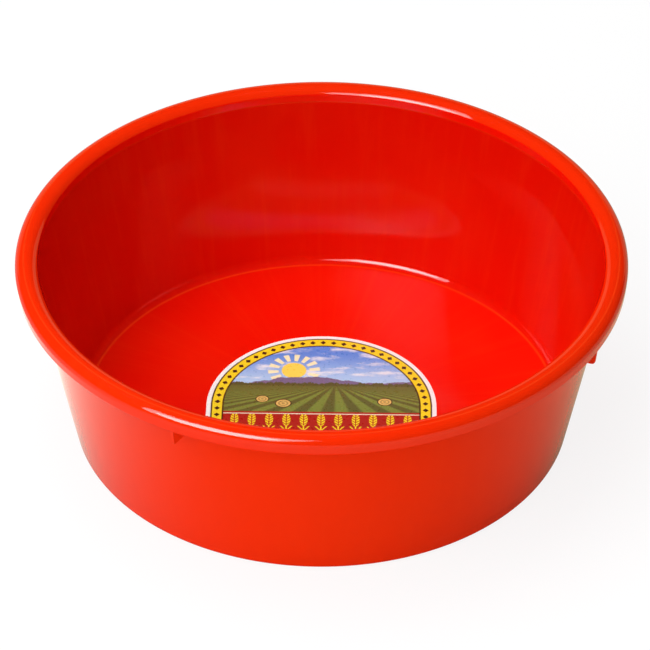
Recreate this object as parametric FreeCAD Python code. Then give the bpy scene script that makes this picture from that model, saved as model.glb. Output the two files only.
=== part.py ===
import FreeCAD, Part
import math
import os

# Round moulded feed pan with a printed label stuck to its floor.
# Millimetres. +Z is up. The origin is the centre of the base, on the surface the pan stands on.

# Pan
rim_diameter = 311.0       # outermost size, across the rolled rim
pan_height = 104.0         # base to the crown of the rim
rim_width = 11.4           # across the rolled rim, inside face to outside face
rim_shoulder_radius = 4.5  # bend on the rim's outer side
rim_shoulder_deg = 60.0    # where the shoulder turns into the flatter crown, as the surface's facing above level
rim_edge_deg = 34.0        # the same where the crown ends, at the top of the rim's inside face
rim_inner_drop = 7.8       # crown down to the crease where the sloping wall starts, inside
skirt_drop = 9.8           # crown down to the lower edge of the rim's outer skirt
skirt_inset = 0.4          # how far the skirt leans in at its lower edge
wall_draft_deg = 11.0      # slope of the wall from upright
wall_thickness = 2.4       # wall and rim shell, measured level
floor_thickness = 2.4
inner_corner_radius = 5.0  # floor to wall, inside
outer_corner_radius = 3.5  # base to wall, outside

# Foot ring and gate mark under the base
foot_height = 1.0          # how far the middle of the base is lifted off the ground
foot_width = 6.0           # flat ring that the pan stands on
foot_step_run = 1.5        # level run of the sloping step inside the foot ring
gate_diameter = 9.0        # round mark where the plastic entered the mould
gate_height = 0.5

# Stacking ribs: short plates in the rim's channel that hold nested pans apart
rib_count = 4
rib_first_angle_deg = -27.8  # from the front (-Y) towards +X
rib_thickness = 1.4
rib_drop = 8.6             # how far the ribs reach below the skirt
rib_edge_inset = 0.7       # rib's outer edge, inside the skirt's outer face
rib_edge_lean = 1.0        # how far that edge leans in over the drop
rib_bottom_fall = 1.5      # how much lower the rib is at the wall than at its outer edge
rib_corner_radius = 2.0    # outer bottom corner
rib_root_depth = 1.0       # how far the rib is rooted in the wall and in the rim shell

# Label: printed face sheet on a layer of adhesive, with an arched top and a straight lower edge
label_width = 120.0
label_length = 120.0       # crown of the arch to the lower edge
label_corner_radius = 8.0  # the two lower corners
label_offset_y = -1.5      # middle of the label from the middle of the floor
label_turn_deg = -1.0      # slight turn from square, as it was stuck on by hand
label_face_thickness = 0.15
label_adhesive_thickness = 0.05

# Worked out from the sizes above
rim_radius = rim_diameter / 2
shoulder_angle = math.radians(rim_shoulder_deg)
edge_angle = math.radians(rim_edge_deg)
crown_radius = (
    (rim_width - rim_shoulder_radius * (1 - math.cos(shoulder_angle)))
    / (math.cos(shoulder_angle) + math.cos(edge_angle))
)
crease_r = rim_radius - rim_width
crown_centre_r = crease_r + crown_radius * math.cos(edge_angle)
crown_centre_z = pan_height - crown_radius
shoulder_centre_r = rim_radius - rim_shoulder_radius
shoulder_centre_z = crown_centre_z + (crown_radius - rim_shoulder_radius) * math.sin(shoulder_angle)
crease_z = pan_height - rim_inner_drop
skirt_z = pan_height - skirt_drop
skirt_outer_r = rim_radius - skirt_inset
lip_radius = wall_thickness / 2
floor_top_z = foot_height + floor_thickness
wall_draft = math.radians(wall_draft_deg)
axis_up = FreeCAD.Vector(0, 0, 1)


def inner_wall_r(z):
    """Radius of the inside of the sloping wall at height z."""
    return crease_r - (crease_z - z) * math.tan(wall_draft)


def outer_wall_r(z):
    """Radius of the outside of the sloping wall at height z."""
    return inner_wall_r(z) + wall_thickness


def section_point(r, z):
    """A point of the radial cross-section, which is drawn in the XZ plane."""
    return FreeCAD.Vector(r, 0, z)


def line(start, end):
    return Part.LineSegment(start, end).toShape()


def arc(start, middle, end):
    return Part.Arc(start, middle, end).toShape()


def corner_points(level_z, wall_r, radius):
    """Start, middle and end of the arc that rounds a level face into the sloping wall above it."""
    centre_z = level_z + radius
    centre_r = wall_r(centre_z) - radius / math.cos(wall_draft)
    end_angle = -wall_draft
    middle_angle = (end_angle - math.pi / 2) / 2

    def on_arc(angle):
        return section_point(centre_r + radius * math.cos(angle), centre_z + radius * math.sin(angle))

    return section_point(centre_r, level_z), on_arc(middle_angle), on_arc(end_angle)


def rim_profile(depth):
    """Points of the rim's outline at a depth below its skin: inner edge, crown, join, shoulder and outside."""
    crown = crown_radius - depth
    shoulder = rim_shoulder_radius - depth
    inner_angle = math.acos((crease_r + depth - crown_centre_r) / crown)

    def on_crown(angle):
        return section_point(crown_centre_r + crown * math.cos(angle), crown_centre_z + crown * math.sin(angle))

    def on_shoulder(angle):
        return section_point(shoulder_centre_r + shoulder * math.cos(angle), shoulder_centre_z + shoulder * math.sin(angle))

    return [
        on_crown(inner_angle),
        on_crown((inner_angle + shoulder_angle) / 2),
        on_crown(shoulder_angle),
        on_shoulder(shoulder_angle / 2),
        on_shoulder(0),
    ]


def pan_section():
    """Closed cross-section of the pan from the axis outwards: floor, wall, rolled rim, base and foot ring."""
    floor_start, floor_bend, wall_start = corner_points(floor_top_z, inner_wall_r, inner_corner_radius)
    base_start, base_bend, side_start = corner_points(0, outer_wall_r, outer_corner_radius)

    floor_centre = section_point(0, floor_top_z)
    crease = section_point(crease_r, crease_z)
    rim_edge, crown, rim_join, shoulder, rim_outside = rim_profile(0)

    lip_outside = section_point(skirt_outer_r, skirt_z + lip_radius)
    lip_bottom = section_point(skirt_outer_r - lip_radius, skirt_z)
    lip_inside = section_point(skirt_outer_r - wall_thickness, skirt_z + lip_radius)
    channel_edge, channel_top, channel_join, channel_shoulder, channel_outside = rim_profile(wall_thickness)
    wall_top = section_point(outer_wall_r(crease_z), crease_z)

    foot_inner_r = base_start.x - foot_width
    foot_inner = section_point(foot_inner_r, 0)
    recess_edge = section_point(foot_inner_r - foot_step_run, foot_height)
    gate_edge = section_point(gate_diameter / 2, foot_height)
    gate_rim = section_point(gate_diameter / 2, foot_height - gate_height)
    gate_centre = section_point(0, foot_height - gate_height)

    edges = [
        line(floor_centre, floor_start),
        arc(floor_start, floor_bend, wall_start),
        line(wall_start, crease),
        line(crease, rim_edge),
        arc(rim_edge, crown, rim_join),
        arc(rim_join, shoulder, rim_outside),
        line(rim_outside, lip_outside),
        arc(lip_outside, lip_bottom, lip_inside),
        line(lip_inside, channel_outside),
        arc(channel_outside, channel_shoulder, channel_join),
        arc(channel_join, channel_top, channel_edge),
        line(channel_edge, wall_top),
        line(wall_top, side_start),
        arc(side_start, base_bend, base_start),
        line(base_start, foot_inner),
        line(foot_inner, recess_edge),
        line(recess_edge, gate_edge),
        line(gate_edge, gate_rim),
        line(gate_rim, gate_centre),
        line(gate_centre, floor_centre),
    ]
    return Part.Face(Part.Wire(edges))


def stacking_rib(angle_deg):
    """One stacking rib: a plate that fills the rim's channel and reaches below the skirt."""
    outer_z = skirt_z - rib_drop
    wall_z = outer_z - rib_bottom_fall
    root_edge, root_top, root_join, root_shoulder, root_outside = rim_profile(wall_thickness - rib_root_depth)

    wall_low = section_point(outer_wall_r(wall_z) - rib_root_depth, wall_z)
    corner = section_point(skirt_outer_r - rib_edge_inset - rib_edge_lean, outer_z)
    at_skirt = section_point(skirt_outer_r - rib_edge_inset, skirt_z)
    wall_high = section_point(outer_wall_r(crease_z) - rib_root_depth, crease_z)

    outline = Part.Wire([
        line(wall_low, corner),
        line(corner, at_skirt),
        line(at_skirt, root_outside),
        arc(root_outside, root_shoulder, root_join),
        arc(root_join, root_top, root_edge),
        line(root_edge, wall_high),
        line(wall_high, wall_low),
    ])
    plate = Part.Face(outline).extrude(FreeCAD.Vector(0, rib_thickness, 0))
    plate.translate(FreeCAD.Vector(0, -rib_thickness / 2, 0))
    corner_edges = [
        edge for edge in plate.Edges
        if all(abs(v.X - corner.x) < 1e-6 and abs(v.Z - corner.z) < 1e-6 for v in edge.Vertexes)
    ]
    plate = plate.makeFillet(rib_corner_radius, corner_edges)
    plate.rotate(FreeCAD.Vector(0, 0, 0), axis_up, angle_deg - 90)
    return plate


def pan_body():
    """The pan as it leaves the mould: one piece with its rim, foot ring and stacking ribs."""
    body = pan_section().revolve(FreeCAD.Vector(0, 0, 0), axis_up, 360)
    ribs = [stacking_rib(rib_first_angle_deg + i * 360 / rib_count) for i in range(rib_count)]
    return body.fuse(ribs).removeSplitter()


def label_outline(z):
    """The label's die-cut outline at height z."""
    side = label_width / 2
    top = label_offset_y + label_length / 2
    spring = top - side
    low = label_offset_y - label_length / 2
    corner = label_corner_radius
    bend = corner * (1 - math.cos(math.pi / 4))

    def at(x, y):
        return FreeCAD.Vector(x, y, z)

    return Part.Wire([
        arc(at(side, spring), at(0, top), at(-side, spring)),
        line(at(-side, spring), at(-side, low + corner)),
        arc(at(-side, low + corner), at(-side + bend, low + bend), at(-side + corner, low)),
        line(at(-side + corner, low), at(side - corner, low)),
        arc(at(side - corner, low), at(side - bend, low + bend), at(side, low + corner)),
        line(at(side, low + corner), at(side, spring)),
    ])


def label_layer(z, thickness):
    """One layer of the label, lying on height z."""
    sheet = Part.Face(label_outline(z)).extrude(FreeCAD.Vector(0, 0, thickness))
    sheet.rotate(FreeCAD.Vector(0, 0, 0), axis_up, label_turn_deg)
    return sheet


def one_solid(name, shape):
    """The solid of a piece, which has to come out as exactly one."""
    if len(shape.Solids) != 1:
        raise ValueError(name + " came out as " + str(len(shape.Solids)) + " solids")
    return shape.Solids[0]


nodes = {
    "pan_body": pan_body(),
    "label_adhesive": label_layer(floor_top_z, label_adhesive_thickness),
    "label_face": label_layer(floor_top_z + label_adhesive_thickness, label_face_thickness),
}

os.makedirs("parts", exist_ok=True)
for name, shape in nodes.items():
    solid = one_solid(name, shape)
    solid.exportStep("parts/" + name + ".step")
    print(name, "valid", solid.isValid(), "cm3", round(solid.Volume / 1000, 2))
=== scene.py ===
import math

import bpy
from mathutils import Matrix, Vector


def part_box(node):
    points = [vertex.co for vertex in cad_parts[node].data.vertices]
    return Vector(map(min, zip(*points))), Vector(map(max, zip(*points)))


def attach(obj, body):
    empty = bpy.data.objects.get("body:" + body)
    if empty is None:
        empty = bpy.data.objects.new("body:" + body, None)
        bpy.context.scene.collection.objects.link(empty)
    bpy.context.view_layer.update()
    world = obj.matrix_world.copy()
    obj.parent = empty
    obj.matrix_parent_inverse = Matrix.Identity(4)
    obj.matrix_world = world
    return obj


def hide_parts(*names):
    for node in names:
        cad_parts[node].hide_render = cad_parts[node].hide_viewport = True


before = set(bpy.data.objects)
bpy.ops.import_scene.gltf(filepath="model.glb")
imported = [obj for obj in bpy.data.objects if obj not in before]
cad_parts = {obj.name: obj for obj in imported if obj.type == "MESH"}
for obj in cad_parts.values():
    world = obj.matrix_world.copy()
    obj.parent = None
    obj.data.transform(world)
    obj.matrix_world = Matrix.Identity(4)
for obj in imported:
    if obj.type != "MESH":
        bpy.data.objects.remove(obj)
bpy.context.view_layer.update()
panLow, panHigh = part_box("pan_body")
labelLow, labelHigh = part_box("label_face")
scene = bpy.context.scene
print("frame loaded:", sorted(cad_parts))


# --- modelling helpers

def activate(piece):
    if bpy.context.mode != "OBJECT":
        bpy.ops.object.mode_set(mode="OBJECT")
    bpy.ops.object.select_all(action="DESELECT")
    piece.select_set(True)
    bpy.context.view_layer.objects.active = piece


def roundCorners(corners, step, closed=False):
    # corners are (x, y, radius); each bend becomes an arc with a point every step degrees, fewer on a small one
    points = []
    count = len(corners)
    for i, (x, y, radius) in enumerate(corners):
        here = Vector((x, y))
        if radius == 0 or (not closed and i in (0, count - 1)):
            points.append(here)
            continue
        back = (Vector(corners[i - 1][:2]) - here).normalized()
        ahead = (Vector(corners[(i + 1) % count][:2]) - here).normalized()
        opening = back.angle(ahead)
        middle = here + (back + ahead).normalized() * radius / math.sin(opening / 2)
        start = here + back * radius / math.tan(opening / 2)
        turn = (start - middle).angle_signed(here + ahead * radius / math.tan(opening / 2) - middle)
        spread = step if radius > 0.001 else 3 * step
        steps = max(2, math.ceil(abs(math.degrees(turn)) / spread))
        for k in range(steps + 1):
            angle = -turn * k / steps
            arm = start - middle
            points.append(middle + Vector((
                arm.x * math.cos(angle) - arm.y * math.sin(angle),
                arm.x * math.sin(angle) + arm.y * math.cos(angle),
            )))
    return points


def holdStraights(points, hold, longest):
    # points near both ends of each long straight keep its shading flat, and more points split it
    held = [points[0]]
    for start, end in zip(points, points[1:]):
        run = end - start
        if run.length > 4 * hold:
            inner = run.normalized() * hold
            parts = max(1, math.ceil((run.length - 2 * hold) / longest))
            for k in range(parts + 1):
                held.append(start + inner + (run - 2 * inner) * k / parts)
        held.append(end)
    return held


def drawLine(name, points):
    # a plane is merged to its middle, and that point is extruded along the line
    bpy.ops.object.select_all(action="DESELECT")
    bpy.ops.mesh.primitive_plane_add(size=0.001, location=points[0])
    piece = bpy.context.object
    piece.name = name
    piece.data.name = name
    bpy.ops.object.transform_apply(location=True, rotation=True, scale=True)
    bpy.ops.object.mode_set(mode="EDIT")
    bpy.ops.mesh.select_all(action="SELECT")
    bpy.ops.mesh.merge(type="CENTER")
    for start, end in zip(points, points[1:]):
        bpy.ops.mesh.extrude_region_move(TRANSFORM_OT_translate={"value": end - start})
    return piece


# --- pan body: section drawn from the middle of the floor outwards, then spun

pan = {
    "rimWidth": 0.0114,        # inside face to outside face of the rolled rim
    "shoulderRadius": 0.0045,  # bend on the rim's outer side
    "shoulderAngle": 60.0,     # where it turns into the flatter crown, degrees above level
    "edgeAngle": 34.0,         # where the crown ends, at the top of the inside face
    "edgeRound": 0.0008,
    "rimInnerDrop": 0.0078,    # crown to the crease, inside
    "skirtDrop": 0.0098,       # crown to the lower edge of the skirt
    "skirtInset": 0.0004,
    "wallDraft": 11.0,         # degrees from upright
    "wall": 0.0024,
    "floor": 0.0024,
    "insideCorner": 0.005,
    "outsideCorner": 0.0035,
    "creaseRound": 0.0005,
    "lipRound": 0.00112,
    "smallRound": 0.0002,
    "footHeight": 0.001,
    "footWidth": 0.006,
    "footStep": 0.0015,
    "gateDiameter": 0.009,
    "gateHeight": 0.0005,
    "witnessAngle": 10.0,      # mould's parting step on the crown, degrees outwards from the top
    "witnessStep": 0.00006,
    "witnessRun": 0.0001,
    "turns": 336,              # faces round the pan
    "bendStep": 7.5,           # degrees of arc per face in the section
    "hold": 0.0007,
    "longestFace": 0.016,
}

ribs = {
    "count": 4,
    "firstAngle": -27.8,       # degrees from the front towards +X
    "thickness": 0.0014,
    "drop": 0.0086,            # below the skirt
    "edgeInset": 0.0007,
    "edgeLean": 0.001,
    "bottomFall": 0.0015,
    "corner": 0.002,
    "root": 0.001,
    "edgeRound": 0.00018,
}

rimRadius = panHigh.x
crownZ = panHigh.z
shoulderAngle = math.radians(pan["shoulderAngle"])
edgeAngle = math.radians(pan["edgeAngle"])
crownRadius = ((pan["rimWidth"] - pan["shoulderRadius"] * (1 - math.cos(shoulderAngle)))
               / (math.cos(shoulderAngle) + math.cos(edgeAngle)))
creaseRadius = rimRadius - pan["rimWidth"]
crownMiddle = Vector((creaseRadius + crownRadius * math.cos(edgeAngle), crownZ - crownRadius))
shoulderMiddle = Vector((rimRadius - pan["shoulderRadius"],
                         crownMiddle.y + (crownRadius - pan["shoulderRadius"]) * math.sin(shoulderAngle)))
creaseZ = crownZ - pan["rimInnerDrop"]
skirtRadius = rimRadius - pan["skirtInset"]
skirtZ = crownZ - pan["skirtDrop"]
floorZ = pan["footHeight"] + pan["floor"]
draft = math.radians(pan["wallDraft"])


def insideRadius(z):
    return creaseRadius - (creaseZ - z) * math.tan(draft)


def outsideRadius(z):
    return insideRadius(z) + pan["wall"]


def facing(angle):
    return Vector((math.cos(angle), math.sin(angle)))


def crownEnd(depth):
    # the crown's arc stops short of the inside face, which leaves room to round the edge between them
    return math.acos((creaseRadius + depth - crownMiddle.x) / (crownRadius - depth)) - math.radians(3)


def rimCorners(depth, edgeRound):
    # edge, crown and shoulder of the rim, at a depth below its skin
    crown = crownRadius - depth
    shoulder = pan["shoulderRadius"] - depth
    end = crownEnd(depth)
    last = crownMiddle + facing(end) * crown
    edge = last + Vector((-math.sin(end), math.cos(end))) * (last.x - creaseRadius - depth) / math.sin(end)
    top = crownMiddle + facing((end + shoulderAngle) / 2) * crown / math.cos((end - shoulderAngle) / 2)
    side = shoulderMiddle + facing(shoulderAngle / 2) * shoulder / math.cos(shoulderAngle / 2)
    return [(edge.x, edge.y, edgeRound), (top.x, top.y, crown), (side.x, side.y, shoulder)]


def panCorners():
    wall = pan["wall"]
    footOuter = outsideRadius(pan["outsideCorner"]) - pan["outsideCorner"] / math.cos(draft)
    footInner = footOuter - pan["footWidth"]
    gate = pan["gateDiameter"] / 2
    gateZ = pan["footHeight"] - pan["gateHeight"]
    small = pan["smallRound"]
    return [
        (0, floorZ, 0),
        (insideRadius(floorZ), floorZ, pan["insideCorner"]),
        (creaseRadius, creaseZ, pan["creaseRound"]),
        *rimCorners(0, pan["edgeRound"]),
        (rimRadius, shoulderMiddle.y, 0),
        (skirtRadius, skirtZ, pan["lipRound"]),
        (skirtRadius - wall, skirtZ, pan["lipRound"]),
        (rimRadius - wall, shoulderMiddle.y, 0),
        *reversed(rimCorners(wall, 0)),
        (creaseRadius + wall, creaseZ, pan["creaseRound"]),
        (outsideRadius(0), 0, pan["outsideCorner"]),
        (footInner, 0, small),
        (footInner - pan["footStep"], pan["footHeight"], small),
        (gate, pan["footHeight"], small),
        (gate, gateZ, small),
        (0, gateZ, 0),
    ]


def addWitness(points):
    # inside of the parting step, the crown lies a hair lower, fading out towards the crease
    edge = math.radians(pan["witnessAngle"])
    inner = math.pi / 2 - crownEnd(0)
    stepped = []
    placed = False
    for point in points:
        arm = point - crownMiddle
        angle = math.atan2(arm.x, arm.y)
        onCrown = arm.y > 0 and abs(arm.length - crownRadius) < 1e-6
        if onCrown and angle > edge and not placed:
            for radius, shift in ((crownRadius - pan["witnessStep"], 0), (crownRadius, pan["witnessRun"])):
                at = edge + shift / crownRadius
                stepped.append(crownMiddle + Vector((math.sin(at), math.cos(at))) * radius)
            placed = True
        if onCrown and angle < edge:
            fade = max(0, (angle - inner) / (edge - inner))
            point = crownMiddle + arm * (1 - fade * pan["witnessStep"] / crownRadius)
        stepped.append(point)
    return stepped


def withoutRepeats(points):
    kept = [points[0]]
    for point in points[1:]:
        if (point - kept[-1]).length > 2e-6:
            kept.append(point)
    return kept


def spinPan():
    section = withoutRepeats(addWitness(roundCorners(panCorners(), pan["bendStep"])))
    section = holdStraights(section, pan["hold"], pan["longestFace"])
    piece = drawLine("panBody", [Vector((p.x, 0, p.y)) for p in section])
    bpy.ops.mesh.select_all(action="SELECT")
    bpy.ops.mesh.spin(steps=pan["turns"], angle=math.tau, center=(0, 0, 0), axis=(0, 0, 1))
    bpy.ops.mesh.select_all(action="SELECT")
    bpy.ops.mesh.remove_doubles(threshold=1e-6)
    bpy.ops.mesh.normals_make_consistent(inside=False)
    bpy.ops.object.mode_set(mode="OBJECT")
    return piece


def ribCorners():
    outerZ = skirtZ - ribs["drop"]
    wallZ = outerZ - ribs["bottomFall"]
    depth = pan["wall"] - ribs["root"]
    edge = skirtRadius - ribs["edgeInset"]
    return [
        (outsideRadius(wallZ) - ribs["root"], wallZ, 0),
        (edge - ribs["edgeLean"], outerZ, ribs["corner"]),
        (edge, skirtZ, 0),
        (rimRadius - depth, shoulderMiddle.y, 0),
        *reversed(rimCorners(depth, 0)),
        (outsideRadius(creaseZ) - ribs["root"], creaseZ, 0),
    ]


def turnAboutAxis(piece, degrees):
    activate(piece)
    bpy.ops.object.mode_set(mode="EDIT")
    bpy.ops.mesh.select_all(action="SELECT")
    # with no window the turn runs the other way, so the angle changes sign
    bpy.ops.transform.rotate(value=-math.radians(degrees), orient_axis="Z", center_override=(0, 0, 0))
    bpy.ops.object.mode_set(mode="OBJECT")


def fillAndThicken(way):
    # closes the drawn line, fills it and pulls it into a plate
    bpy.ops.mesh.select_all(action="SELECT")
    bpy.ops.mesh.remove_doubles(threshold=1e-6)
    bpy.ops.mesh.edge_face_add()
    bpy.ops.mesh.extrude_region_move(TRANSFORM_OT_translate={"value": way})
    bpy.ops.mesh.select_all(action="SELECT")
    bpy.ops.mesh.normals_make_consistent(inside=False)


def applyModifier(piece, kind, **settings):
    activate(piece)
    modifier = piece.modifiers.new(kind.title(), kind)
    for name, value in settings.items():
        setattr(modifier, name, value)
    bpy.ops.object.modifier_apply(modifier=modifier.name)


def makeRibs():
    outline = withoutRepeats(roundCorners(ribCorners(), pan["bendStep"] * 2, closed=True))
    line = [Vector((0, -ribs["thickness"] / 2, 0)) + Vector((p.x, 0, p.y)) for p in outline]
    first = drawLine("rib", line + line[:1])
    fillAndThicken(Vector((0, ribs["thickness"], 0)))
    bpy.ops.object.mode_set(mode="OBJECT")
    applyModifier(first, "BEVEL", width=ribs["edgeRound"], segments=2, limit_method="ANGLE", angle_limit=math.radians(40))
    made = []
    for i in range(ribs["count"]):
        rib = first.copy()
        rib.data = first.data.copy()
        scene.collection.objects.link(rib)
        turnAboutAxis(rib, ribs["firstAngle"] + i * 360 / ribs["count"] - 90)
        made.append(rib)
    bpy.data.objects.remove(first)
    activate(made[0])
    for rib in made:
        rib.select_set(True)
    bpy.ops.object.join()
    return made[0]


def dropSlivers(piece):
    # the ribs' rounded edges meet the skirt within a hair of its own points
    activate(piece)
    bpy.ops.object.mode_set(mode="EDIT")
    bpy.ops.mesh.select_all(action="SELECT")
    bpy.ops.mesh.dissolve_degenerate(threshold=5e-6)
    bpy.ops.object.mode_set(mode="OBJECT")


panBody = spinPan()
panRibs = makeRibs()
applyModifier(panBody, "BOOLEAN", operation="UNION", object=panRibs, solver="MANIFOLD")
bpy.data.objects.remove(panRibs)
dropSlivers(panBody)
bpy.ops.object.shade_smooth_by_angle(angle=math.radians(32))
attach(panBody, "root")
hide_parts("pan_body")
print("pan body modelled:", len(panBody.data.polygons), "faces")


# --- label sheet

label = {
    "width": 0.120,
    "length": 0.120,           # crown of the arch to the lower edge
    "corner": 0.008,
    "offsetY": -0.0015,
    "turn": -1.0,              # degrees, as it was stuck on by hand
    "edgeRound": 0.00005,
}


def labelCorners():
    side = label["width"] / 2
    top = label["offsetY"] + label["length"] / 2
    low = label["offsetY"] - label["length"] / 2
    return [
        (side, low, label["corner"]),
        (side, top, side),
        (-side, top, side),
        (-side, low, label["corner"]),
    ]


def makeLabel():
    outline = withoutRepeats(roundCorners(labelCorners(), 3, closed=True))
    line = [Vector((p.x, p.y, labelLow.z)) for p in outline]
    piece = drawLine("labelSheet", line + line[:1])
    fillAndThicken(Vector((0, 0, labelHigh.z - labelLow.z)))
    bpy.ops.object.mode_set(mode="OBJECT")
    turnAboutAxis(piece, label["turn"])
    applyModifier(piece, "BEVEL", width=label["edgeRound"], segments=2, limit_method="ANGLE", angle_limit=math.radians(60))
    activate(piece)
    bpy.ops.object.shade_smooth_by_angle(angle=math.radians(32))
    return piece


labelSheet = makeLabel()
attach(labelSheet, "root")
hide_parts("label_face")
print("label modelled")


# --- materials

def newMaterial(name):
    material = bpy.data.materials.new(name)
    material.use_nodes = True
    tree = material.node_tree
    return material, tree, tree.nodes["Principled BSDF"]


def addNode(tree, kind, inputs=None, **settings):
    node = tree.nodes.new(kind)
    for name, value in settings.items():
        setattr(node, name, value)
    for socket, value in (inputs or {}).items():
        connect(tree, value, node.inputs[socket])
    return node


def connect(tree, value, socket):
    if isinstance(value, bpy.types.NodeSocket):
        tree.links.new(value, socket)
    else:
        socket.default_value = value


def calc(tree, operation, *values):
    node = addNode(tree, "ShaderNodeMath", operation=operation)
    for i, value in enumerate(values):
        connect(tree, value, node.inputs[i])
    return node.outputs[0]


def times(tree, first, *others):
    for other in others:
        first = calc(tree, "MULTIPLY", first, other)
    return first


def plus(tree, first, *others):
    for other in others:
        first = calc(tree, "ADD", first, other)
    return first


def minus(tree, first, second):
    return calc(tree, "SUBTRACT", first, second)


def absolute(tree, value):
    return calc(tree, "ABSOLUTE", value)


def distance(tree, a, b):
    # from the middle, of a point a along and b across
    return calc(tree, "SQRT", plus(tree, times(tree, a, a), times(tree, b, b)))


def ramp(tree, value, low, high, start=0.0, end=1.0, smooth=True):
    inputs = {"Value": value, "From Min": low, "From Max": high, "To Min": start, "To Max": end}
    kind = "SMOOTHSTEP" if smooth else "LINEAR"
    return addNode(tree, "ShaderNodeMapRange", inputs, interpolation_type=kind).outputs["Result"]


def noise(tree, vector, scale, detail=2.0, roughness=0.5):
    inputs = {"Vector": vector, "Scale": scale, "Detail": detail, "Roughness": roughness}
    return addNode(tree, "ShaderNodeTexNoise", inputs).outputs["Fac"]


def blend(tree, factor, first, second):
    node = addNode(tree, "ShaderNodeMix", data_type="RGBA")
    connect(tree, factor, node.inputs["Factor"])
    connect(tree, first, node.inputs[6])
    connect(tree, second, node.inputs[7])
    return node.outputs[2]


def combine(tree, x, y, z):
    return addNode(tree, "ShaderNodeCombineXYZ", {"X": x, "Y": y, "Z": z}).outputs[0]


plastic = {
    "colour": (0.83, 0.0275, 0.003, 1),
    "rimColour": (0.84, 0.0215, 0.0006, 1),
    "paintedBounceShadeColour": (0.72, 0.0045, 0.0004, 1),   # painted shade: a deeper, redder tone inside the pan, for light bounced about in it
    "paleColour": (0.87, 0.040, 0.004, 1),     # thin flow streaks
    "paintedBounceLightColour": (0.93, 0.0060, 0.0003, 1),  # painted bounce light: a brighter, redder tone on the rim's thin inside face, and in part on the flat of the floor
    # painted glint along the mould's lines
    "paintedGlintColour": (0.88, 0.050, 0.005, 1),
    "wornColour": (0.62, 0.12, 0.06, 1),
    "roughness": 0.048,
    "ior": 1.5,
    "mottleScale": 14.0,
    "peelScale": 420.0,
    "waveScale": 26.0,
    "scratchScale": 900.0,
}


def axialPlace(tree, coords):
    # place and facing round the pan's axis
    place = coords.outputs["Object"]
    x, y, z = addNode(tree, "ShaderNodeSeparateXYZ", {0: place}).outputs
    nx, ny, nz = addNode(tree, "ShaderNodeSeparateXYZ", {0: coords.outputs["Normal"]}).outputs
    radius = calc(tree, "MAXIMUM", distance(tree, x, y), 1e-4)
    acrossX = calc(tree, "DIVIDE", x, radius)
    acrossY = calc(tree, "DIVIDE", y, radius)
    towardsAxis = times(tree, plus(tree, times(tree, nx, acrossX), times(tree, ny, acrossY)), -1.0)
    return place, radius, z, acrossX, acrossY, towardsAxis, nz


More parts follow.
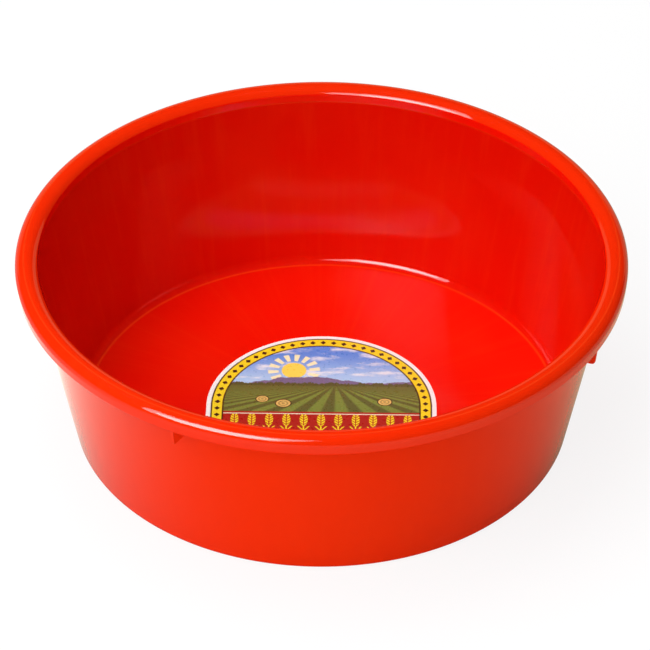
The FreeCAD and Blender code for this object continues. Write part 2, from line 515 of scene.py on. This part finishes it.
def paintPlastic():
    material, tree, shader = newMaterial("panPlastic")
    coords = addNode(tree, "ShaderNodeTexCoord")
    place, radius, z, acrossX, acrossY, towardsAxis, nz = axialPlace(tree, coords)

    # zones: rim, its upright inside face, the bowl below it, and in the bowl the wall and the floor
    rim = ramp(tree, z, skirtZ - 0.001, skirtZ + 0.001)
    rimFace = times(tree, ramp(tree, towardsAxis, 0.84, 0.96), ramp(tree, z, creaseZ, creaseZ + 0.001))
    bowl = times(tree, ramp(tree, calc(tree, "MAXIMUM", towardsAxis, nz), 0.1, 0.6),
                 ramp(tree, z, creaseZ - 0.001, creaseZ + 0.001, 1.0, 0.0))
    innerWall = calc(tree, "MAXIMUM", times(tree, bowl, ramp(tree, nz, 0.25, 0.45, 1.0, 0.0)), rimFace)
    floorFlat = times(tree, ramp(tree, nz, 0.97, 0.995), calc(tree, "LESS_THAN", z, floorZ + 0.001))
    colour = blend(tree, rim, plastic["colour"], plastic["rimColour"])
    # painted shade and bounce light: the bowl a deeper red, the rim's inside face and part of the floor a brighter red
    colour = blend(tree, bowl, colour, plastic["paintedBounceShadeColour"])
    colour = blend(tree, rimFace, colour, plastic["paintedBounceLightColour"])
    colour = blend(tree, times(tree, floorFlat, 0.35), colour, plastic["paintedBounceLightColour"])

    # line where the mould's floor insert met its wall, at the foot of the inside corner: a faint real ridge in the
    # bump, and a lighter painted glint along it
    insertRadius = insideRadius(floorZ + pan["insideCorner"]) - pan["insideCorner"] / math.cos(draft) + 0.0008
    insertRidgeAndGlint = times(tree, ramp(tree, absolute(tree, minus(tree, radius, insertRadius)), 0.0001, 0.0010, 1.0, 0.0),
                       ramp(tree, nz, 0.5, 0.7), calc(tree, "LESS_THAN", z, floorZ + 0.003))
    colour = blend(tree, times(tree, insertRidgeAndGlint, 0.55), colour, plastic["paintedGlintColour"])

    # parting line of the mould along the crown: its step is in the shape, and a lighter line is painted on it as a
    # highlight
    witnessRadius = crownMiddle.x + crownRadius * math.sin(math.radians(pan["witnessAngle"]))
    witnessGlint = times(tree, ramp(tree, absolute(tree, minus(tree, radius, witnessRadius)), 0.0001, 0.0007, 1.0, 0.0),
                        calc(tree, "GREATER_THAN", z, crownZ - 0.001))
    colour = blend(tree, times(tree, witnessGlint, 0.6), colour, plastic["paintedGlintColour"])

    # faint streaks of the melt, running out from the middle
    outwards = combine(tree, times(tree, acrossX, 9.0), times(tree, acrossY, 9.0), times(tree, z, 6.0))
    flow = noise(tree, outwards, 3.0, 4.0, 0.6)
    mottle = noise(tree, place, plastic["mottleScale"], 3.0)
    pale = plus(tree, ramp(tree, flow, 0.45, 0.8, 0.0, 0.16), ramp(tree, mottle, 0.4, 0.75, 0.0, 0.12))
    colour = blend(tree, pale, colour, plastic["paleColour"])

    # rubbed foot ring, and hairline scuffs round the pan, more of them on the crown
    footWear = times(tree, ramp(tree, z, 0.0, 0.002, 1.0, 0.0), ramp(tree, nz, -0.8, -0.3, 1.0, 0.0))
    grain = noise(tree, place, plastic["scratchScale"], 3.0, 0.7)
    worn = times(tree, footWear, ramp(tree, grain, 0.38, 0.62), 0.45)
    colour = blend(tree, worn, colour, plastic["wornColour"])
    around = combine(tree, times(tree, radius, 1400.0), times(tree, acrossX, 6.0), times(tree, acrossY, 6.0))
    scuffs = times(tree, ramp(tree, noise(tree, around, 1.0, 2.0), 0.62, 0.7),
                   ramp(tree, noise(tree, place, 22.0, 3.0), 0.52, 0.68))
    crownWear = ramp(tree, z, crownZ - 0.0012, crownZ)

    even = plastic["roughness"]
    roughness = plus(
        tree,
        ramp(tree, noise(tree, place, 60.0, 4.0), 0.3, 0.75, even - 0.012, even + 0.02),
        times(tree, footWear, 0.32),
        times(tree, scuffs, plus(tree, 0.05, times(tree, crownWear, 0.06))),
        times(tree, innerWall, 0.05),
        times(tree, floorFlat, 0.09),
        ramp(tree, nz, -0.9, -0.6, 0.22, 0.0),   # satin underside
    )
    height = plus(
        tree,
        times(tree, noise(tree, place, plastic["peelScale"], 1.0), 0.000002),
        times(tree, noise(tree, place, plastic["waveScale"], 1.0), 0.00006),
        times(tree, scuffs, -0.000002),
        times(tree, insertRidgeAndGlint, 0.00002),
        times(tree, footWear, grain, 0.00003),
    )
    # the wall inside is drier than the rest, as it is wiped most, and the floor shines
    shine = plus(tree, ramp(tree, innerWall, 0.0, 1.0, 0.5, 0.2), times(tree, floorFlat, 0.35))
    bump = addNode(tree, "ShaderNodeBump", {"Height": height, "Distance": 1.0, "Strength": 1.0})
    shader.inputs["IOR"].default_value = plastic["ior"]
    tree.links.new(colour, shader.inputs["Base Color"])
    tree.links.new(roughness, shader.inputs["Roughness"])
    tree.links.new(shine, shader.inputs["Specular IOR Level"])
    tree.links.new(bump.outputs[0], shader.inputs["Normal"])
    return material


# print on the label: lengths in millimetres, u to the right and v towards the arch, from the sheet's middle

printed = {
    "white": (0.90, 0.92, 0.90, 1),
    "brown": (0.040, 0.012, 0.007, 1),
    "yellow": (0.88, 0.67, 0.018, 1),
    "red": (0.41, 0.014, 0.007, 1),
    "skyHigh": (0.075, 0.25, 0.72, 1),
    "skyLow": (0.42, 0.63, 0.88, 1),
    "cloud": (0.86, 0.88, 0.90, 1),
    "sun": (0.95, 0.70, 0.10, 1),
    "rays": (0.93, 0.86, 0.52, 1),
    "farHill": (0.17, 0.14, 0.25, 1),
    "nearHill": (0.060, 0.072, 0.022, 1),
    "furrow": (0.105, 0.112, 0.026, 1),
    "crop": (0.205, 0.27, 0.045, 1),
    "straw": (0.72, 0.48, 0.13, 1),
    "cream": (0.80, 0.74, 0.56, 1),
    "border": 2.3,
    "keyline": 0.8,
    "frame": 8.2,
    "diamondGap": 5.5,
    "horizon": 17.0,
    "stripTop": -5.0,
    "stripLow": -25.0,
    "earGap": 9.0,
    "sunAt": (-15.0, 30.0),
    "sunSize": 6.5,
    "bales": ((-31.0, 5.5, 3.6), (-20.0, 2.0, 4.4), (33.0, 4.0, 4.0)),   # middle and width
    "ior": 1.46,
}


def oval(tree, u, v, middle, width, height):
    # 1 at the edge, less inside
    a = calc(tree, "DIVIDE", minus(tree, u, middle[0]), width)
    b = calc(tree, "DIVIDE", minus(tree, v, middle[1]), height)
    return distance(tree, a, b)


def below(tree, value, edge, soft=0.25):
    return ramp(tree, value, minus(tree, edge, soft), plus(tree, edge, soft), 1.0, 0.0)


def cell(tree, value, gap):
    # distance from the middle of the nearest repeat
    return minus(tree, calc(tree, "WRAP", plus(tree, value, gap / 2), gap, 0.0), gap / 2)


def choose(tree, first, second, chance):
    # first where chance is 1, second where it is 0
    return plus(tree, times(tree, first, chance), times(tree, second, minus(tree, 1.0, chance)))


def labelEdge(tree, u, v):
    # distance inwards from the label's cut edge, and the run along it from the top of the arch
    half = label["width"] * 500
    corner = label["corner"] * 1000
    side = absolute(tree, u)
    arch = minus(tree, half, distance(tree, u, v))
    dx = minus(tree, side, half - corner)
    dy = minus(tree, times(tree, v, -1.0), half - corner)
    reach = distance(tree, calc(tree, "MAXIMUM", dx, 0.0), calc(tree, "MAXIMUM", dy, 0.0))
    low = minus(tree, corner, plus(tree, reach, calc(tree, "MINIMUM", calc(tree, "MAXIMUM", dx, dy), 0.0)))
    inwards = choose(tree, arch, low, calc(tree, "GREATER_THAN", v, 0.0))
    middle = half - (printed["border"] + printed["keyline"] + printed["frame"]) / 2
    turn = calc(tree, "ARCTAN2", side, calc(tree, "MAXIMUM", v, 0.0))
    down = calc(tree, "MAXIMUM", times(tree, v, -1.0), 0.0)
    bottom = times(tree, calc(tree, "GREATER_THAN", dy, dx), calc(tree, "LESS_THAN", v, 0.0))
    run = choose(tree, side, plus(tree, times(tree, turn, middle), down), bottom)
    return inwards, run


def printSky(tree, u, v):
    # sky with soft clouds, and a sun with flat rays
    picture = blend(tree, ramp(tree, v, printed["horizon"], 48.0), printed["skyLow"], printed["skyHigh"])
    cloudy = noise(tree, combine(tree, times(tree, u, 0.055), times(tree, v, 0.16), 3.0), 1.0, 4.0, 0.55)
    picture = blend(tree, ramp(tree, cloudy, 0.50, 0.68, 0.0, 0.85), picture, printed["cloud"])
    sunU, sunV = printed["sunAt"]
    disc = oval(tree, u, v, printed["sunAt"], printed["sunSize"], printed["sunSize"])
    angle = calc(tree, "ARCTAN2", minus(tree, v, sunV), minus(tree, u, sunU))
    spokes = ramp(tree, calc(tree, "SINE", times(tree, angle, 14.0)), -0.15, 0.15)
    rays = times(tree, spokes, below(tree, disc, 2.1, 0.06), ramp(tree, disc, 1.2, 1.3))
    picture = blend(tree, rays, picture, printed["rays"])
    return blend(tree, below(tree, disc, 1.0, 0.05), picture, printed["sun"])


def printLand(tree, u, v, picture):
    # far hills, a nearer line of bushes, rows of a crop that run to the horizon, and bales
    flat = combine(tree, u, v, 0.0)
    ridge = plus(tree, times(tree, calc(tree, "SINE", plus(tree, times(tree, u, 0.085), 2.2)), 2.6),
                 times(tree, noise(tree, combine(tree, u, 0.0, 7.0), 0.12, 3.0), 6.0), printed["horizon"] + 2.2)
    picture = blend(tree, below(tree, v, ridge), picture, printed["farHill"])
    bushes = plus(tree, times(tree, noise(tree, combine(tree, u, 0.0, 1.0), 0.42, 4.0, 0.7), 7.5), printed["horizon"] - 1.4)
    leaves = blend(tree, noise(tree, flat, 0.9, 3.0), printed["nearHill"], printed["furrow"])
    picture = blend(tree, below(tree, v, bushes), picture, leaves)
    depth = plus(tree, minus(tree, printed["horizon"], v), 1.6)
    rows = calc(tree, "SINE", times(tree, calc(tree, "DIVIDE", minus(tree, u, 7.0), depth), 10.0))
    rows = times(tree, ramp(tree, rows, -0.5, 0.5), ramp(tree, depth, 1.0, 9.0, 0.25, 0.8))
    rows = plus(tree, rows, times(tree, minus(tree, noise(tree, flat, 0.8, 4.0, 0.7), 0.5), 0.7))
    field = blend(tree, rows, printed["furrow"], printed["crop"])
    picture = blend(tree, below(tree, v, printed["horizon"]), picture, field)
    for x, y, width in printed["bales"]:
        bale = oval(tree, u, v, (x, y), width, width * 0.8)
        coils = ramp(tree, calc(tree, "SINE", times(tree, bale, 15.0)), -0.4, 0.4, 0.0, 0.45)
        straw = blend(tree, coils, printed["straw"], printed["brown"])
        straw = blend(tree, ramp(tree, bale, 0.84, 0.92), straw, printed["brown"])
        picture = blend(tree, below(tree, bale, 1.0, 0.05), picture, straw)
    return picture


def printStrip(tree, u, v, picture):
    # red strip with a row of ears, and under it a plain cream field with three rules
    stripTop, stripLow = printed["stripTop"], printed["stripLow"]
    earU = cell(tree, u, printed["earGap"])
    earV = minus(tree, v, (stripTop + stripLow) / 2 + 1.8)
    aside = absolute(tree, earU)
    body = oval(tree, earU, earV, (0.0, 1.6), 2.1, 5.2)
    slant = minus(tree, earV, times(tree, aside, 0.9))
    seams = ramp(tree, calc(tree, "SINE", times(tree, slant, 3.1)), -0.75, -0.35)
    kernels = times(tree, below(tree, body, 1.0, 0.08), seams, ramp(tree, aside, 0.14, 0.34))
    fromStem = absolute(tree, plus(tree, earV, 5.6))
    stem = times(tree, below(tree, aside, 0.38, 0.12), below(tree, fromStem, 2.4))
    leafLine = absolute(tree, minus(tree, aside, times(tree, plus(tree, earV, 7.6), 0.75)))
    leaf = times(tree, below(tree, leafLine, 0.42, 0.15), below(tree, fromStem, 1.9))
    ears = calc(tree, "MAXIMUM", kernels, calc(tree, "MAXIMUM", stem, leaf))
    strip = blend(tree, ears, printed["red"], printed["yellow"])
    fromRule = calc(tree, "MINIMUM", absolute(tree, minus(tree, v, stripTop - 1.7)),
                    absolute(tree, minus(tree, v, stripLow + 1.7)))
    strip = blend(tree, below(tree, fromRule, 0.35, 0.15), strip, printed["cream"])
    picture = blend(tree, below(tree, v, stripTop), picture, strip)

    rules = below(tree, absolute(tree, cell(tree, minus(tree, v, stripLow - 6.5), 6.0)), 0.28, 0.1)
    panel = times(tree, below(tree, absolute(tree, u), 38.0),
                  below(tree, absolute(tree, minus(tree, v, stripLow - 12.5)), 8.5))
    field = blend(tree, times(tree, rules, panel), printed["cream"], printed["brown"])
    return blend(tree, below(tree, v, stripLow), picture, field)


def printFrame(tree, inwards, run, picture):
    # keylines, yellow frame with a row of diamonds, and the white border
    border, keyline, frameWidth = printed["border"], printed["keyline"], printed["frame"]
    along = absolute(tree, cell(tree, run, printed["diamondGap"]))
    across = absolute(tree, minus(tree, inwards, (border + keyline + frameWidth) / 2))
    diamond = plus(tree, calc(tree, "DIVIDE", along, 1.55), calc(tree, "DIVIDE", across, 1.55))
    band = blend(tree, below(tree, diamond, 1.0, 0.12), printed["yellow"], printed["brown"])
    picture = blend(tree, below(tree, inwards, frameWidth + keyline), picture, printed["brown"])
    picture = blend(tree, below(tree, inwards, frameWidth), picture, band)
    picture = blend(tree, below(tree, inwards, border + keyline), picture, printed["brown"])
    return blend(tree, below(tree, inwards, border), picture, printed["white"])


def paintLabel():
    material, tree, shader = newMaterial("labelPrint")
    coords = addNode(tree, "ShaderNodeTexCoord")
    sheet = addNode(tree, "ShaderNodeMapping", {
        "Vector": coords.outputs["Object"],
        "Scale": (1000, 1000, 1000),
        "Rotation": (0, 0, -math.radians(label["turn"])),
        "Location": (0, -label["offsetY"] * 1000, 0),
    }).outputs[0]
    u, v, _ = addNode(tree, "ShaderNodeSeparateXYZ", {0: sheet}).outputs
    inwards, run = labelEdge(tree, u, v)
    picture = printSky(tree, u, v)
    picture = printLand(tree, u, v, picture)
    picture = printStrip(tree, u, v, picture)
    picture = printFrame(tree, inwards, run, picture)

    # ink grain, varnish and paper fibre
    grain = noise(tree, sheet, 2.6, 2.0, 0.7)
    picture = blend(tree, ramp(tree, grain, 0.35, 0.7, 0.0, 0.012), picture, printed["cream"])
    roughness = ramp(tree, noise(tree, sheet, 0.5, 3.0), 0.3, 0.7, 0.26, 0.36)
    fibre = plus(tree, noise(tree, sheet, 1.4, 3.0), times(tree, noise(tree, sheet, 0.06, 1.0), 18.0))
    bump = addNode(tree, "ShaderNodeBump", {"Height": times(tree, fibre, 0.000002), "Distance": 1.0, "Strength": 1.0})
    tree.links.new(picture, shader.inputs["Base Color"])
    tree.links.new(roughness, shader.inputs["Roughness"])
    tree.links.new(bump.outputs[0], shader.inputs["Normal"])
    shader.inputs["IOR"].default_value = printed["ior"]
    return material


adhesive = {
    "colour": (0.70, 0.68, 0.60, 1),
    "bubbleColour": (0.78, 0.76, 0.70, 1),
    "bubbleScale": 700.0,
}


def paintAdhesive():
    material, tree, shader = newMaterial("labelAdhesive")
    place = addNode(tree, "ShaderNodeTexCoord").outputs["Object"]
    bubbles = addNode(tree, "ShaderNodeTexVoronoi", {"Vector": place, "Scale": adhesive["bubbleScale"]}).outputs["Distance"]
    patches = noise(tree, place, 80.0, 3.0)
    colour = blend(tree, ramp(tree, patches, 0.35, 0.7), adhesive["colour"], adhesive["bubbleColour"])
    tree.links.new(colour, shader.inputs["Base Color"])
    tree.links.new(ramp(tree, bubbles, 0.1, 0.6, 0.45, 0.7), shader.inputs["Roughness"])
    bump = addNode(tree, "ShaderNodeBump", {"Height": times(tree, bubbles, 0.00001), "Distance": 1.0})
    tree.links.new(bump.outputs[0], shader.inputs["Normal"])
    return material


def giveMaterial(piece, material):
    piece.data.materials.clear()
    piece.data.materials.append(material)


giveMaterial(panBody, paintPlastic())
giveMaterial(labelSheet, paintLabel())
giveMaterial(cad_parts["label_adhesive"], paintAdhesive())
print("materials made")


# --- floor, light and camera

studio = {
    "floorRadius": 6.0,
    "floorDrop": 0.0001,
    "floorColour": (0.88, 0.88, 0.88, 1),
    "white": 1.03,
    "shadowKept": 0.16,        # share of the floor's own shading that the camera sees under the white
    "aim": (0.0, 0.0, 0.055),
    "ambient": 0.21,
    "paperBounceGlow": 0.31,
    "mirrorLeft": 1.9,         # brightness in reflections: the paper close behind the pan on either side
    "mirrorRight": 0.72,
    "mirrorFar": 0.50,         # the paper far off
    "mirrorRoom": 0.015,       # the room above
    "leftTint": (1.0, 0.94, 0.82, 1),
    "rightTint": (1.0, 0.92, 0.62, 1),
}

# azimuth and elevation in degrees; in a sharp reflection only the nearest of three lamps in one place would count, so
# the three key lamps stand a little apart
softboxes = {
    "keySoftbox": {
        "shape": "RECTANGLE", "azimuth": 39, "elevation": 44, "distance": 1.60, "size": (1.30, 1.06),
        "radiance": 4.0, "colour": (1.0, 1.0, 1.0), "seenBy": "all",
    },
    "keySheen": {
        "shape": "RECTANGLE", "azimuth": 39, "elevation": 44, "distance": 1.59, "size": (1.30, 1.06),
        "radiance": 2.0, "colour": (1.0, 1.0, 1.0), "seenBy": "glossy",
    },
    "keyCore": {
        "shape": "ELLIPSE", "azimuth": 39, "elevation": 41, "distance": 1.58, "size": (1.02, 0.92),
        "radiance": 8.5, "colour": (1.0, 1.0, 1.0), "seenBy": "glossy",
    },
    "topSoftbox": {
        "shape": "RECTANGLE", "azimuth": 120, "elevation": 75, "distance": 1.8, "size": (1.45, 1.45),
        "radiance": 3.3, "colour": (1.0, 1.0, 1.0), "seenBy": "diffuse",
    },
    "backCard": {
        "shape": "RECTANGLE", "azimuth": 180, "elevation": 11, "distance": 2.6, "size": (5.2, 1.0),
        "radiance": 0.40, "colour": (1.0, 0.85, 0.42), "seenBy": "glossy",
    },
}

view = {
    "target": (0.00180, 0.0, 0.05544),
    "distance": 2.1368,
    "elevation": 37.13,
    "roll": 0.053,
    "lens": 230.2,
}


def directionFrom(azimuth, elevation):
    # azimuth runs from the camera's side, -Y, towards -X
    a = math.radians(azimuth)
    e = math.radians(elevation)
    return Vector((-math.sin(a) * math.cos(e), -math.cos(a) * math.cos(e), math.sin(e)))


def placeSoftbox(name, box):
    lamp = bpy.data.lights.new(name, "AREA")
    lamp.shape = box["shape"]
    lamp.size, lamp.size_y = box["size"]
    area = box["size"][0] * box["size"][1] * (math.pi / 4 if box["shape"] == "ELLIPSE" else 1)
    lamp.energy = box["radiance"] * math.pi * area
    lamp.color = box["colour"]
    held = bpy.data.objects.new(name, lamp)
    scene.collection.objects.link(held)
    back = directionFrom(box["azimuth"], box["elevation"])
    held.location = Vector(studio["aim"]) + back * box["distance"]
    held.rotation_euler = (-back).to_track_quat("-Z", "Y").to_euler()
    held.visible_camera = False
    held.visible_diffuse = box["seenBy"] != "glossy"
    held.visible_glossy = box["seenBy"] != "diffuse"
    return held


def byRay(tree, others, seen, mirrored):
    # one surface for camera and transmission rays, one for glossy rays and one for the rest
    path = addNode(tree, "ShaderNodeLightPath")
    straight = plus(tree, path.outputs["Is Camera Ray"], path.outputs["Is Transmission Ray"])
    mix = addNode(tree, "ShaderNodeMixShader", {0: straight, 1: others, 2: seen}).outputs[0]
    return addNode(tree, "ShaderNodeMixShader", {0: path.outputs["Is Glossy Ray"], 1: mix, 2: mirrored}).outputs[0]


def mirroredPaper(tree):
    # the paper in reflections: pale behind the pan, most of all on the left, and darker in front
    place = addNode(tree, "ShaderNodeTexCoord").outputs["Object"]
    x, y, _ = addNode(tree, "ShaderNodeSeparateXYZ", {0: place}).outputs
    behind = ramp(tree, plus(tree, times(tree, y, 0.75), times(tree, absolute(tree, x), 0.65)), -0.1, 0.16, smooth=False)
    near = times(tree, behind, behind, ramp(tree, x, -0.1, 0.1, studio["mirrorLeft"], studio["mirrorRight"]))
    far = ramp(tree, distance(tree, x, y), 0.19, 0.27)
    strength = plus(tree, times(tree, near, minus(tree, 1.0, far)), times(tree, far, studio["mirrorFar"]))
    tint = blend(tree, ramp(tree, x, -0.1, 0.1), studio["leftTint"], studio["rightTint"])
    return addNode(tree, "ShaderNodeEmission", {"Color": tint, "Strength": strength}).outputs[0]


def paintFloor():
    material, tree, shader = newMaterial("floorPaper")
    tree.nodes.remove(shader)
    paper = addNode(tree, "ShaderNodeBsdfDiffuse", {"Color": studio["floorColour"]}).outputs[0]
    glow = addNode(tree, "ShaderNodeEmission", {"Strength": studio["paperBounceGlow"]}).outputs[0]   # painted bounce light: the paper glows to the rays that light the pan, standing in for light it throws back
    lit = addNode(tree, "ShaderNodeAddShader", {0: paper, 1: glow}).outputs[0]

    # to the camera: white, with a share of the real shading so that the pan's shadow stays
    white = addNode(tree, "ShaderNodeEmission", {"Strength": studio["white"]}).outputs[0]
    seen = addNode(tree, "ShaderNodeMixShader", {0: studio["shadowKept"], 1: white, 2: paper}).outputs[0]
    surface = byRay(tree, lit, seen, mirroredPaper(tree))
    tree.links.new(surface, tree.nodes["Material Output"].inputs["Surface"])
    return material


def makeFloor():
    bpy.ops.object.select_all(action="DESELECT")
    bpy.ops.mesh.primitive_circle_add(vertices=96, radius=studio["floorRadius"], fill_type="NGON",
                                      location=(0, 0, -studio["floorDrop"]))
    floor = bpy.context.object
    floor.name = "studioFloor"
    bpy.ops.object.transform_apply(location=True, rotation=True, scale=True)
    giveMaterial(floor, paintFloor())
    return floor


def makeWorld():
    world = bpy.data.worlds.new("studioWorld")
    scene.world = world
    world.use_nodes = True
    tree = world.node_tree
    tree.nodes.remove(tree.nodes["Background"])
    ambient, white, room = (
        addNode(tree, "ShaderNodeBackground", {"Color": (1, 1, 1, 1), "Strength": strength}).outputs[0]
        for strength in (studio["ambient"], 1.0, studio["mirrorRoom"])
    )
    surface = byRay(tree, ambient, white, room)
    tree.links.new(surface, tree.nodes["World Output"].inputs["Surface"])


def makeCamera():
    lens = bpy.data.cameras.new("camera")
    lens.lens = view["lens"]
    lens.sensor_width = 36
    lens.clip_start = 0.05
    lens.clip_end = 50
    camera = bpy.data.objects.new("camera", lens)
    scene.collection.objects.link(camera)
    back = directionFrom(0, view["elevation"])
    camera.location = Vector(view["target"]) + back * view["distance"]
    turn = (-back).to_track_quat("-Z", "Y").to_matrix().to_4x4()
    camera.rotation_euler = (turn @ Matrix.Rotation(math.radians(view["roll"]), 4, "Z")).to_euler()
    scene.camera = camera


makeFloor()
makeWorld()
for name, box in softboxes.items():
    placeSoftbox(name, box)
makeCamera()
scene.view_settings.view_transform = "Standard"
print("studio set")
